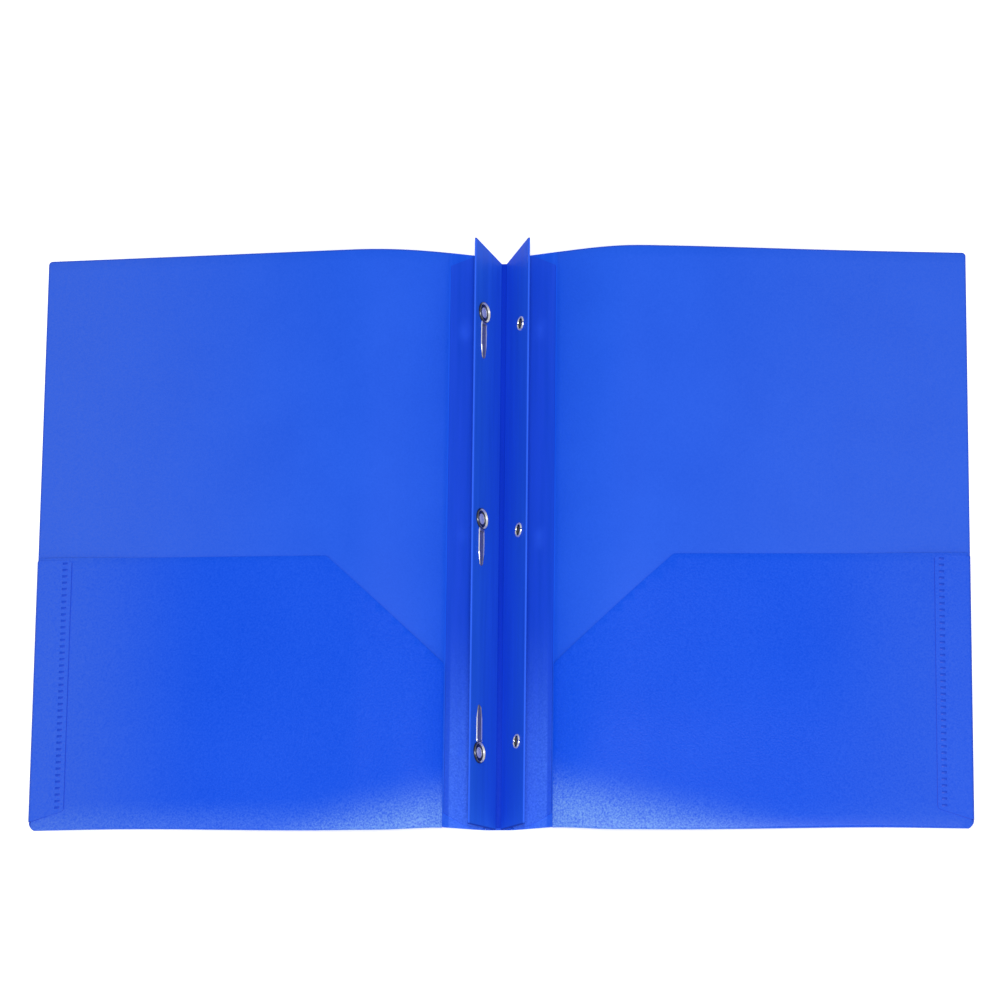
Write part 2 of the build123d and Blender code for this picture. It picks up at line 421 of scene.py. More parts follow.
def sheet_grain_group():
    """Matte film grain: fine pits, soft clouds and long rubbed streaks along the spine."""
    group = bpy.data.node_groups.new("sheet_grain", "ShaderNodeTree")
    face = group.interface
    face.new_socket("Vector", in_out="INPUT", socket_type="NodeSocketVector")
    for name in ("Grain Scale", "Cloud Scale", "Streak Scale"):
        face.new_socket(name, in_out="INPUT", socket_type="NodeSocketFloat")
    for name in ("Height", "Grain", "Cloud", "Streak"):
        face.new_socket(name, in_out="OUTPUT", socket_type="NodeSocketFloat")
    inside = group.nodes.new("NodeGroupInput").outputs
    out = group.nodes.new("NodeGroupOutput").inputs
    pits = link_in(group, "ShaderNodeTexNoise", Vector=inside["Vector"], Scale=inside["Grain Scale"],
                   Detail=3.0, Roughness=0.65)
    specks = link_in(group, "ShaderNodeTexVoronoi", Vector=inside["Vector"], Scale=inside["Grain Scale"])
    cloud = link_in(group, "ShaderNodeTexNoise", Vector=inside["Vector"], Scale=inside["Cloud Scale"],
                    Detail=4.0, Roughness=0.55)
    long_way = stretched(group, inside["Vector"], streak_stretch)
    streak = link_in(group, "ShaderNodeTexNoise", Vector=long_way, Scale=inside["Streak Scale"],
                     Detail=3.0, Roughness=0.6)
    height = math_node(group, "MULTIPLY_ADD", specks.outputs["Distance"], speck_share, pits.outputs["Fac"])
    group.links.new(height, out["Height"])
    for name, pattern in (("Grain", pits), ("Cloud", cloud), ("Streak", streak)):
        group.links.new(ranged(group, pattern.outputs["Fac"], *noise_reach, 0.0, 1.0), out[name])
    return group


sheet_grain = sheet_grain_group()


def material_base(name, roughness, specular):
    """A new material with its shader, and the object coordinates that its patterns use."""
    made = bpy.data.materials.new(name)
    made.use_nodes = True
    tree = made.node_tree
    shader = tree.nodes["Principled BSDF"]
    shader.inputs["Roughness"].default_value = roughness
    shader.inputs["Specular IOR Level"].default_value = specular
    place = tree.nodes.new("ShaderNodeTexCoord").outputs["Object"]
    return made, tree, shader, place


def bump(tree, shader, height, strength, distance):
    """Fine relief on a shader."""
    node = link_in(tree, "ShaderNodeBump", Height=height, Strength=strength, Distance=distance)
    tree.links.new(node.outputs["Normal"], shader.inputs["Normal"])


def grain(tree, place, *scales):
    """The shared film grain at its three scales."""
    node = tree.nodes.new("ShaderNodeGroup")
    node.node_tree = sheet_grain
    tree.links.new(place, node.inputs["Vector"])
    for name, scale in zip(("Grain Scale", "Cloud Scale", "Streak Scale"), scales):
        node.inputs[name].default_value = scale
    return node.outputs


def painted_highlight_mask(tree, across, outward, highlight_strength):
    """Where a pocket gets its painted highlight: a slanted low corner beside the spine, and the bottom fold,
    which gets most of it on the left."""
    rise = math_node(tree, "ADD", across["Y"], math_node(tree, "MULTIPLY", outward, highlight_slant))
    side_rise = ranged(tree, across["X"], -score.x, score.x, highlight_side, -highlight_side)
    rise = math_node(tree, "ADD", rise, side_rise)
    foot = bottom + highlight_slant * score.x
    corner = ranged(tree, rise, foot + highlight_full, foot + highlight_reach, 1.0, 0.0, True)
    corner = math_node(tree, "MULTIPLY", corner, math_node(tree, "MULTIPLY", corner, highlight_strength))
    fold_highlight = ranged(tree, across["Y"], bottom, bottom + fold_highlight_height, highlight_strength, 0.0, True)
    fold_highlight = math_node(tree, "MULTIPLY", fold_highlight, ranged(tree, across["X"], -score.x, score.x, *fold_highlight_share))
    return math_node(tree, "MAXIMUM", corner, fold_highlight)


def film_material(name, deep, pale, depth, roughness, specular, cloud_share, sheen, highlight_strength):
    """Blue film between a deep and a pale tone, with its grain as relief, a painted sheen that grows towards
    its outer edge, a painted highlight in a low corner beside the spine, and painted shade along its cut
    edges."""
    made, tree, shader, place = material_base(name, roughness, specular)
    texture = grain(tree, place, *film_scales)
    cloudy = spread(tree, texture["Cloud"], 0.0, cloud_share)
    grainy = spread(tree, texture["Grain"], 0.0, 1.0 - cloud_share)
    color = mix_color(tree, math_node(tree, "ADD", cloudy, grainy), deep, pale)
    across = axes(tree, place)
    outward = math_node(tree, "ABSOLUTE", across["X"])
    # Painted sheen: paler towards the outer edge, grainy, and weaker on the right side, as though lit from
    # the left.
    sheen_start, sheen_share = sheen
    painted_sheen = ranged(tree, outward, sheen_start, outer_x, 0.0, sheen_share, True)
    painted_sheen = math_node(tree, "MULTIPLY", painted_sheen, spread(tree, texture["Grain"], *sheen_grain))
    side_share = ranged(tree, across["X"], -outer_x, outer_x, 1.0, right_sheen_share)
    painted_sheen = math_node(tree, "MULTIPLY", painted_sheen, side_share)
    color = mix_color(tree, painted_sheen, color, painted_sheen_pale)
    # Painted highlight, grainy, in the pocket's low corner beside the spine and along its bottom fold.
    if highlight_strength:
        wear_and_highlight = painted_highlight_mask(tree, across, outward, highlight_strength)
        wear_and_highlight = math_node(tree, "MULTIPLY", wear_and_highlight, spread(tree, texture["Grain"], *highlight_grain))
        color = mix_color(tree, wear_and_highlight, color, painted_highlight_pale)
    # Painted shade along the outer and top cut edges.
    side_edge_shade = ranged(tree, outward, outer_x - edge_shade_width, outer_x, 0.0, edge_shade_share, True)
    top_edge_shade = ranged(tree, across["Y"], top - edge_shade_width, top, 0.0, edge_shade_share, True)
    cut = math_node(tree, "MAXIMUM", side_edge_shade, top_edge_shade)
    tree.links.new(mix_color(tree, cut, color, painted_edge_shade), shader.inputs["Base Color"])
    rough = spread(tree, texture["Grain"], roughness - film_rough_spread, roughness + film_rough_spread)
    tree.links.new(rough, shader.inputs["Roughness"])
    bump(tree, shader, texture["Height"], film_bump, depth)
    return made


def strip_material(name, deep, pale, roughness, specular, low_light_share, marks):
    """Smoother film beside the spine, with painted light that makes it paler towards its low end, and pale
    blotches at places.
    """
    made, tree, shader, place = material_base(name, roughness, specular)
    texture = grain(tree, place, *strip_scales)
    color = mix_color(tree, texture["Streak"], deep, pale)
    along = axes(tree, place)
    # Painted light: paler towards the low end, most beside the spine and less beyond the score.
    low_light = ranged(tree, along["Y"], low_light_full, low_light_end, low_light_share, 0.0, True)
    outward = math_node(tree, "ABSOLUTE", along["X"])
    beside_score = ranged(tree, outward, low_light_edge, low_light_edge + low_light_edge_width, 1.0, low_light_beyond)
    low_light = math_node(tree, "MULTIPLY", low_light, beside_score)
    low_light = math_node(tree, "MULTIPLY", low_light, spread(tree, texture["Grain"], *low_light_grain))
    color = mix_color(tree, low_light, color, painted_low_light_pale)
    # Pale blotches on the band beside each fastener.
    for center, size in marks:
        at = link_in(tree, "ShaderNodeMapping", Vector=place, Location=center, Scale=size)
        at.vector_type = "TEXTURE"
        ball = link_in(tree, "ShaderNodeTexGradient", Vector=at.outputs["Vector"])
        ball.gradient_type = "SPHERICAL"
        spot = math_node(tree, "MULTIPLY", ball.outputs["Fac"], texture["Cloud"])
        marked = ranged(tree, spot, *mark_reach, 0.0, mark_share, True)
        color = mix_color(tree, marked, color, blotch_pale)
    tree.links.new(color, shader.inputs["Base Color"])
    rough = spread(tree, texture["Streak"], roughness - strip_smoother, roughness + strip_rougher)
    tree.links.new(rough, shader.inputs["Roughness"])
    bump(tree, shader, texture["Height"], strip_bump, strip_depth)
    return made


def wing_material(name, up, base, ends, deep, pale):
    """The wing's film, with a painted highlight along its folded-over free edge, and painted shade, with a
    rough finish, along its cut ends."""
    made, tree, shader, place = material_base(name, wing_roughness, wing_specular)
    texture = grain(tree, place, *wing_scales)
    color = mix_color(tree, texture["Streak"], deep, pale)
    # Painted highlight along the wing's folded free edge.
    free_edge = up.dot(base) + wing_width
    height = along_way(tree, place, up)
    fold_highlight = ranged(tree, height, free_edge - fold_highlight_width, free_edge - fold_highlight_end, 0.0, 1.0, True)
    fold_highlight = math_node(tree, "MULTIPLY", fold_highlight, spread(tree, texture["Streak"], *fold_highlight_streak))
    color = mix_color(tree, fold_highlight, color, painted_fold_highlight)
    # Painted shade, with a rough finish, along the wing's slanted cut ends.
    slant = wing_tip_overhang / wing_width
    cuts = []
    for hand, end in zip((-1, 1), ends):
        end_face = hand * end - slant * free_edge
        beyond = along_way(tree, place, Vector((0, hand, 0)) - slant * up)
        cuts.append(ranged(tree, beyond, end_face - edge_shade_width, end_face, 0.0, wing_end_shade_share, True))
    cut = math_node(tree, "MAXIMUM", *cuts)
    tree.links.new(mix_color(tree, cut, color, painted_edge_shade), shader.inputs["Base Color"])
    rough = math_node(tree, "MAXIMUM", spread(tree, texture["Streak"], *wing_rough_reach), cut)
    tree.links.new(rough, shader.inputs["Roughness"])
    bump(tree, shader, texture["Height"], wing_bump, strip_depth)
    return made


def steel_material(name, along, dull, bright, metallic, smooth, rough):
    """Plated steel, dulled in places, with fine draw lines given by how the pattern is stretched."""
    made, tree, shader, place = material_base(name, steel_roughness, steel_specular)
    shader.inputs["Metallic"].default_value = metallic
    lines = link_in(tree, "ShaderNodeTexNoise", Vector=stretched(tree, place, along),
                    Scale=draw_line_scale, Detail=2.0)
    wear_and_highlight = link_in(tree, "ShaderNodeTexNoise", Vector=place, Scale=steel_wear_scale, Detail=3.0)
    tree.links.new(mix_color(tree, wear_and_highlight.outputs["Fac"], dull, bright), shader.inputs["Base Color"])
    roughness = ranged(tree, lines.outputs["Fac"], *noise_reach, smooth, rough)
    tree.links.new(roughness, shader.inputs["Roughness"])
    bump(tree, shader, lines.outputs["Fac"], steel_bump, steel_depth)
    return made


def paint_edge_highlights(made, way, middle, half):
    """Paints a highlight on a steel tongue along its two rolled edges."""
    tree = made.node_tree
    base = tree.nodes["Principled BSDF"].inputs["Base Color"]
    place = next(node for node in tree.nodes if node.type == "TEX_COORD").outputs["Object"]
    across = math_node(tree, "SUBTRACT", along_way(tree, place, way), middle)
    across = math_node(tree, "ABSOLUTE", across)
    start, full = edge_highlight_reach
    edge = ranged(tree, across, start * half, full * half, 0.0, 1.0, True)
    tree.links.new(mix_color(tree, edge, base.links[0].from_socket, painted_highlight_steel), base)


# Colours of the film, of the painted highlight on the steel and of the floor, in linear values
cover_deep = (0.0050, 0.077, 0.65)
cover_pale = (0.0120, 0.099, 0.72)
pocket_deep = (0.0010, 0.062, 0.65)
pocket_pale = (0.0090, 0.088, 0.73)
tab_deep = (0.0010, 0.062, 0.66)
tab_pale = (0.0130, 0.094, 0.76)
band_deep = (0.0090, 0.064, 0.59)
band_pale = (0.0125, 0.072, 0.65)
# Painted shade: a darker tone of the strip's film for the V's floor and the folds into it
base_shade_deep = (0.0030, 0.030, 0.43)
base_shade_pale = (0.0042, 0.036, 0.50)
ridge_deep = (0.0040, 0.048, 0.58)
ridge_pale = (0.0060, 0.058, 0.64)
# Dark tone of the weld marks, also used for the painted shadow line at the tab's foot
weld_and_shadow_deep = (0.0050, 0.050, 0.52)
weld_and_shadow_pale = (0.0070, 0.062, 0.60)
# One film for both wings, toned apart by side as painted light and shade
wing_deep_by_light = {"left": (0.0138, 0.094, 0.66), "right": (0.0116, 0.084, 0.69)}
wing_pale_by_light = {"left": (0.0176, 0.113, 0.735), "right": (0.0147, 0.101, 0.775)}
# Painted sheen towards the outer edges
painted_sheen_pale = (0.040, 0.116, 0.64)
# Painted light towards the strips' low end
painted_low_light_pale = (0.068, 0.20, 0.88)
# Painted highlight on the pockets
painted_highlight_pale = (0.16, 0.32, 0.76)
# Painted shade at cut edges
painted_edge_shade = (0.003, 0.030, 0.36)
# Painted highlight along the wings' folded edges
painted_fold_highlight = (0.030, 0.125, 0.84)
blotch_pale = (0.030, 0.13, 0.86)
# Painted highlight on the tongues' edges
painted_highlight_steel = (0.95, 0.95, 0.96)
floor_deep = (0.93, 0.93, 0.93)
floor_pale = (0.95, 0.95, 0.95)

# Where the film gets its painted light and shade: highlights at folds and in the pockets' low corners, light
# towards the low ends, shade at cut edges, and sheen towards the outer edges
fold_highlight_width = 1.0 * MM
fold_highlight_end = 0.3 * MM
# Painted light on the strips: full at its low start, gone at its end, and weaker beyond the score.
low_light_full = bottom + 15 * MM
low_light_end = bottom + 115 * MM
low_light_edge = score.x - 3.2 * MM
low_light_edge_width = 0.8 * MM
low_light_beyond = 0.35
# Painted highlight on the pockets: its slant, where it is full and where it fades, its lean by side, and the
# bottom fold's height and its share from left to right.
highlight_slant = 0.23
highlight_full = 4 * MM
highlight_reach = 42 * MM
highlight_side = 2.8 * MM
fold_highlight_height = 16 * MM
fold_highlight_share = (0.24, 0.05)
# Painted shade along cut edges: its width and its strength
edge_shade_width = 0.9 * MM
edge_shade_share = 0.6
wing_end_shade_share = 0.9
# Painted sheen: where it starts to grow towards the outer edge, and how strong it gets; the right side gets a
# share of it, as if lit from the left.
cover_sheen = (score.x + 35 * MM, 0.85)
pocket_sheen = (score.x + 110 * MM, 0.9)
weld_sheen = (outer_x - tab_width, 0.1)
right_sheen_share = 0.6
band_mark_share = 0.62
band_mark_size = (6 * MM, 10 * MM, 5 * MM)

cover_film = film_material("cover_film", cover_deep, cover_pale, depth=0.14 * MM, roughness=0.46,
                           specular=0.17, cloud_share=0.45, sheen=cover_sheen, highlight_strength=0.0)
pocket_film = film_material("pocket_film", pocket_deep, pocket_pale, depth=0.26 * MM, roughness=0.34,
                            specular=0.1, cloud_share=0.2, sheen=pocket_sheen, highlight_strength=1.08)
tab_film = film_material("tab_film", tab_deep, tab_pale, depth=0.30 * MM, roughness=0.34,
                         specular=0.1, cloud_share=0.2, sheen=pocket_sheen, highlight_strength=0.0)
weld_and_shadow_film = film_material("weld_and_shadow_film", weld_and_shadow_deep, weld_and_shadow_pale, depth=0.02 * MM, roughness=0.4,
                          specular=0.2, cloud_share=0.5, sheen=weld_sheen, highlight_strength=0.0)
hinge_film = strip_material("hinge_film", cover_deep, cover_pale, roughness=0.46, specular=0.08,
                            low_light_share=0.95, marks=[])

left_up = Vector(joints["tang_middle_bend"]["axis"])
left_up = left_up if left_up.z > 0 else -left_up
right_up = Vector((math.cos(right_wing_angle), 0, math.sin(right_wing_angle)))
wing_ups = {"left": left_up, "right": right_up}
wing_bases = {"left": Vector((-wing_axis.x, 0, wing_axis.z)), "right": wing_axis}
wing_ends = {side: [corner.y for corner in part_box(f"{side}_wing")] for side in sides}
wing_films = {side: wing_material(f"{side}_wing_film", wing_ups[side], wing_bases[side], wing_ends[side],
                                  wing_deep_by_light[side], wing_pale_by_light[side]) for side in sides}


def band_marks(side):
    """Places and sizes of the pale blotches on a band, beside each fastener."""
    across = crease.x + band_mark_share * (score.x - crease.x)
    level = crease.z + band_mark_share * (score.z - crease.z) + strip_sheet
    places = [joints[f"tang_{row}_bend"]["pos_m"][1] for row in rows]
    return [((sides[side] * across, y, level), band_mark_size) for y in places]


band_films = {side: strip_material(f"{side}_band_film", band_deep, band_pale, roughness=0.4, specular=0.08,
                                   low_light_share=0.95, marks=band_marks(side)) for side in sides}
# The V's floor and the folds into it, darker as painted shade
base_shade_film = strip_material("base_shade_film", base_shade_deep, base_shade_pale, roughness=0.4, specular=0.02,
                           low_light_share=0.1, marks=[])
ridge_film = strip_material("ridge_film", ridge_deep, ridge_pale, roughness=0.4, specular=0.02,
                            low_light_share=1.0, marks=[])
tang_steel = steel_material("tang_steel", draw_lines, dull=(0.26, 0.24, 0.23), bright=(0.52, 0.50, 0.48),
                            metallic=0.8, smooth=0.26, rough=0.42)
paint_edge_highlights(tang_steel, left_up, left_up.dot(wing_bases["left"]) + fastener_height, tang_width / 2)
eyelet_steel = steel_material("eyelet_steel", turn_lines, dull=(0.72, 0.72, 0.72), bright=(0.95, 0.95, 0.95),
                              metallic=0.65, smooth=0.16, rough=0.3)
# Near-black steel as painted shade: in the rings' grooves, round the rims' feet, and in the receivers' bores
shade_steel = steel_material("shade_steel", turn_lines, dull=(0.05, 0.05, 0.06), bright=(0.14, 0.14, 0.15),
                              metallic=1.0, smooth=0.24, rough=0.42)


# The limp sheets: the covers lift a little towards their free top edge, the pockets' weight flattens them
# towards the bottom, where the fold bows out a little, and the pockets lie against the covers at their mouths
cover_lift = {"left": 0.8 * MM, "right": 3.0 * MM}
cover_sag = 5.0 * MM
cover_bow = 1.9 * MM
cover_ripple = 0.16 * MM
pocket_press = 1.35 * MM
hump_rise = (score.x, score.x + 40 * MM)
hump_fall = (score.x + 50 * MM, outer_x - 30 * MM)
bow_rise = (score.x - 15 * MM, score.x + 30 * MM)
bow_fall = (score.x + 40 * MM, outer_x - 30 * MM)
bow_start = 0.3 * top
ripple_rise = (score.x, score.x + 25 * MM)
ripple_fall = (outer_x - 55 * MM, outer_x - 22 * MM)
ripple_scale = 16
ripple_seed = 3.0
press_up = (bottom + 0.35 * pocket_height, bottom + 0.8 * pocket_height)
press_rise = (score.x, score.x + 25 * MM)
press_fall = (outer_x - 60 * MM, outer_x - 20 * MM)


def relax(bm, side):
    """Lets a right sheet lie as a limp one does, the same way for the cover and for the pocket on it."""
    seed = Vector((0, 0, ripple_seed + sides[side]))
    for vert in bm.verts:
        x, y, _ = vert.co
        upward = cover_lift[side] * smooth_step(y, 0.0, top)
        downward = cover_sag * smooth_step(-y, 0.0, top)
        wave = noise.noise(Vector((x, y, 0)) * ripple_scale + seed)
        vert.co.z += between(x, hump_rise, hump_fall) * (upward - downward)
        vert.co.z += cover_ripple * wave * between(x, ripple_rise, ripple_fall)
        vert.co.y -= cover_bow * between(x, bow_rise, bow_fall) * smooth_step(-y, bow_start, top)


def cover_sheet(side):
    """The cover panel, which stops at the bottom fold and at the seam tab's side fold."""
    bm = bmesh.new()
    start = score - hinge_out * sheet / 2
    line = chain(bm, [along_y(start, bottom + pocket_fold_radius), along_y(start, top)])
    bmesh.ops.subdivide_edges(bm, edges=line, cuts=length_steps - 1)
    carry_round_cover(bm, cover_flat_width)
    right, up, down = Vector((1, 0, 0)), Vector((0, 1, 0)), Vector((0, -1, 0))
    round_corner(bm, Vector((outer_x, top, 0)), up, right, top_corner_radius)
    round_corner(bm, Vector((outer_x, bottom, 0)), right, down, bottom_corner_radius)
    fold_x = (flat_start + tab_edge * flat_way).x
    low, high = bottom + bottom_corner_radius, tab_top
    cuts = ((Vector((fold_x, 0, 0)), right), (Vector((0, low, 0)), up), (Vector((0, high, 0)), up))
    for point, across in cuts:
        bmesh.ops.bisect_plane(bm, geom=whole(bm), dist=cut_tolerance, plane_co=point, plane_no=across)
    middles = {face: face.calc_center_median() for face in bm.faces}
    folded = [face for face, middle in middles.items() if middle.x > fold_x and low < middle.y < high]
    bmesh.ops.delete(bm, geom=folded, context="FACES")
    relax(bm, side)
    to_side(bm, side)
    made = thicken(piece(f"{side}_cover_sheet", bm, cover_film), sheet, sheet_edge_round)
    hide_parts(f"{side}_cover")
    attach(made, f"{side}_cover_body")


def press_mouth(bm):
    """Lets the pocket's mouth lie against the cover, away from the tab's seam and from the score."""
    for vert in bm.verts:
        near = smooth_step(vert.co.y, *press_up) * between(vert.co.x, press_rise, press_fall)
        vert.co.z -= pocket_press * near


def pocket_flap(side):
    """The pocket, hooked up round the bottom fold, with its slant and its falling mouth."""
    bm = bmesh.new()
    fold_y = bottom + pocket_fold_radius
    foot = bm.verts.new(along_y(score - hinge_out * sheet / 2, fold_y))
    turned = bmesh.ops.spin(bm, geom=[foot], cent=along_y(score + hinge_out * pocket_gap / 2, fold_y),
                            axis=hinge_way, dvec=(0, 0, 0), angle=-math.pi, steps=fold_steps)
    raised = bmesh.ops.extrude_vert_indiv(bm, verts=verts_of(turned["geom_last"]))
    bmesh.ops.translate(bm, verts=raised["verts"], vec=(0, pocket_mouth - fold_y, 0))
    bmesh.ops.subdivide_edges(bm, edges=raised["edges"], cuts=pocket_steps)
    carry_round_cover(bm, tab_edge)
    inner, slant_foot = Vector((-1, 0, 0)), Vector((pocket_inner_x, bottom + pocket_inner_height, 0))
    slant_top = Vector((pocket_inner_x + pocket_slant_width, pocket_mouth - pocket_mouth_fall, 0))
    mouth_end = Vector((outer_x, pocket_mouth, 0))
    slant_way, mouth_way = slant_top - slant_foot, mouth_end - slant_top
    slant = Vector((-slant_way.y, slant_way.x, 0)).normalized()
    mouth = Vector((-mouth_way.y, mouth_way.x, 0)).normalized()
    for point, outward in ((slant_foot, inner), (slant_foot, slant), (slant_top, mouth)):
        trim(bm, point, outward)
    round_corner(bm, slant_foot, inner, slant, pocket_corner_radius)
    round_corner(bm, slant_top, slant, mouth, pocket_corner_radius)
    right, down = Vector((1, 0, 0)), Vector((0, -1, 0))
    round_corner(bm, Vector((outer_x, bottom, 0)), right, down, bottom_corner_radius)
    press_mouth(bm)
    relax(bm, side)
    to_side(bm, side)
    made = thicken(piece(f"{side}_pocket_flap", bm, pocket_film), sheet, sheet_edge_round)
    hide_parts(f"{side}_pocket")
    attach(made, f"{side}_cover_body")


def weld_marks(side):
    """Pressed pads where the tab is welded to the pocket, in a row along the tab's inner edge."""
    low = bottom + tab_mitre_height + weld_end_margin
    high = tab_top - weld_end_margin
    count = int((high - low) / weld_pitch) + 1
    start = (low + high - (count - 1) * weld_pitch) / 2
    level = tab_level + sheet - weld_sunk_share * weld_depth
    at = flat_start + flat_way * (tab_inner + weld_inset) + flat_out * level
    bm = bmesh.new()
    for mark in range(count):
        pad = bmesh.ops.create_cube(bm, size=1.0)["verts"]
        bmesh.ops.scale(bm, vec=(weld_length, weld_width, weld_depth), verts=pad)
        bmesh.ops.rotate(bm, cent=(0, 0, 0), matrix=Matrix.Rotation(flat_slope, 3, "Y"), verts=pad)
        bmesh.ops.translate(bm, vec=along_y(at, start + mark * weld_pitch), verts=pad)
    bmesh.ops.bevel(bm, geom=bm.edges[:], offset=weld_round, offset_type="OFFSET", affect="EDGES",
                    segments=edge_segments, profile=0.5, material=-1)
    to_side(bm, side)
    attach(piece(f"{side}_weld_marks", bm, weld_and_shadow_film), f"{side}_cover_body")


def seam_shadow_line(side):
    """A dark strip laid on the pocket as painted shadow, at the foot of the tab's inner edge and of its
    mitre.
    """
    foot = bottom + tab_mitre_height
    corner_out, corner_up = (share * tab_corner_radius for share in shadow_line_corner)
    path = [(tab_inner, tab_top - tab_corner_radius / 2), (tab_inner, foot + tab_corner_radius)]
    path += [(tab_inner + corner_out, foot + corner_up)]
    path += [(tab_edge - sheet, bottom + bottom_corner_radius + shadow_line_end_gap)]
    level = flat_out * (tab_level + shadow_line_lift)
    bm = bmesh.new()
    edges = chain(bm, [along_y(flat_start + flat_way * out + level, y) for out, y in path])
    carry(bm, edges, Vector((-shadow_line_width, -shadow_line_fall_share * shadow_line_width, 0)), 1)
    to_side(bm, side)
    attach(piece(f"{side}_seam_shadow_line", bm, weld_and_shadow_film), f"{side}_cover_body")


def to_solid(bm, thickness):
    """Gives a thin strip its thickness."""
    bmesh.ops.recalc_face_normals(bm, faces=bm.faces)
    bmesh.ops.solidify(bm, geom=bm.faces[:], thickness=thickness)
    bmesh.ops.recalc_face_normals(bm, faces=bm.faces)


def ribbon(name, section, low, high, thickness, material):
    """A thin folded strip that follows a section all along the spine."""
    bm = bmesh.new()
    edges = chain(bm, [along_y(point, low) for point in section])
    carry(bm, edges, Vector((0, high - low, 0)), spine_steps)
    to_solid(bm, thickness)
    return piece(name, bm, material)


def mirrored(point, side):
    """A point of the right side, taken to a side."""
    return Vector((sides[side] * point.x, point.y, point.z))


def fold_between(name, side, points, thickness, low, high, material):
    """A fold strip over a crease, between two points that lie either side of it."""
    section = [mirrored(point, side) for point in points]
    made = ribbon(name, section, low, high, thickness, material)
    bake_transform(made)


def sheet_creases(side):
    """The scored lines of the body sheet, which let the panels turn without a gap."""
    middle = sheet / 2
    turn, near = crease_turn, crease_turn / 2
    right, up = Vector((1, 0, 0)), Vector((0, 0, 1))
    spine_points = [crease - right * d - up * middle for d in (crease_reach, turn, near)]
    spine_points += [crease + hinge_way * d - hinge_out * middle for d in (near, turn, crease_reach)]
    low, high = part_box("spine_panel")
    fold_between(f"{side}_spine_crease_fold", side, spine_points,
                 crease_thickness,
                 low.y + sheet, high.y - sheet, cover_film)
    places = (-crease_reach, -turn, -near, near, turn)
    score_points = [score + hinge_way * d - hinge_out * middle for d in places]
    fold_between(f"{side}_score_crease_fold", side,
                 score_points, crease_thickness,
                 bottom, top - sheet, hinge_film)


def strip_creases(side):
    """The folds of the fastener strip: from its base to the band, and from its base up into the wing."""
    low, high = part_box("strip_base")
    base_edge = Vector((high.x, 0, crease.z + strip_sheet / 2))
    band_edge = crease + hinge_way * strip_crease_inset + hinge_out * strip_sheet / 2
    band_points = [base_edge - Vector((strip_overlap, 0, 0)), base_edge, (base_edge + band_edge) / 2,
                   band_edge, band_edge + hinge_way * strip_overlap]
    fold_between(f"{side}_band_fold", side, band_points,
                 strip_fold_thickness, low.y, high.y, base_shade_film)
    wing_up = mirrored(wing_ups[side], side)
    floor_level = crease.z + strip_sheet
    wing_points = [Vector((0, 0, floor_level + wing_fold_lift)),
                   Vector((wing_fold_foot, 0, floor_level + wing_fold_foot_lift)),
                   wing_axis + wing_up * wing_fold_start, wing_axis + wing_up * wing_fold_reach]
    fold_between(f"{side}_wing_fold", side, wing_points,
                 strip_fold_thickness, low.y, high.y,
                 base_shade_film)


def spine_fold_ridge():
    """The raised line where the strip's two folded layers meet, at the right foot of the V."""
    low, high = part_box("strip_base")
    foot = Vector((ridge_place, low.y, high.z + ridge_lift))
    rising = [(-ridge_half, 0.0), (-ridge_shoulder, ridge_shoulder_height)]
    section = rising + [(0.0, ridge_height)] + [(-x, z) for x, z in reversed(rising)]
    bm = bmesh.new()
    edges = chain(bm, [foot + Vector((x, 0, z)) for x, z in section])
    carry(bm, edges, Vector((0, high.y - low.y, 0)), spine_steps)
    bmesh.ops.recalc_face_normals(bm, faces=bm.faces)
    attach(piece("spine_fold_ridge", bm, ridge_film), "spine")


def on_wing(side, y, bm):
    """Moves a fastener from its own frame to its place on a wing: local x goes up the wing, and z out of
    its inner face."""
    up = wing_ups[side]
    along = Vector((0, sides[side], 0))
    out = up.cross(along)
    at = wing_bases[side] + up * fastener_height
    turn = Matrix((up, along, out)).transposed().to_4x4()
    bmesh.ops.transform(bm, matrix=Matrix.Translation((at.x, y, at.z)) @ turn, verts=bm.verts)
    bmesh.ops.recalc_face_normals(bm, faces=bm.faces)


def turned_profile(profiles, steps):
    """Solids of revolution about local z from closed or axis-to-axis profiles of radius and height."""
    bm = bmesh.new()
    for points in profiles:
        chain(bm, [Vector((radius, 0, height)) for radius, height in points])
    bmesh.ops.spin(bm, geom=whole(bm), cent=(0, 0, 0), axis=(0, 0, 1), dvec=(0, 0, 0), angle=2 * math.pi,
                   steps=steps, use_merge=True)
    bmesh.ops.remove_doubles(bm, verts=bm.verts, dist=merge_distance)
    bmesh.ops.recalc_face_normals(bm, faces=bm.faces)
    return bm


def bead_points(inner, outer, rise, steps):
    """A rounded rim between two radii on the wing's inner face, from its inner foot to its outer foot."""
    middle, half = (inner + outer) / 2, (outer - inner) / 2
    turns = [math.pi * step / steps for step in range(steps + 1)]
    return [(middle - half * math.cos(turn), wing_face + rise * math.sin(turn)) for turn in turns]


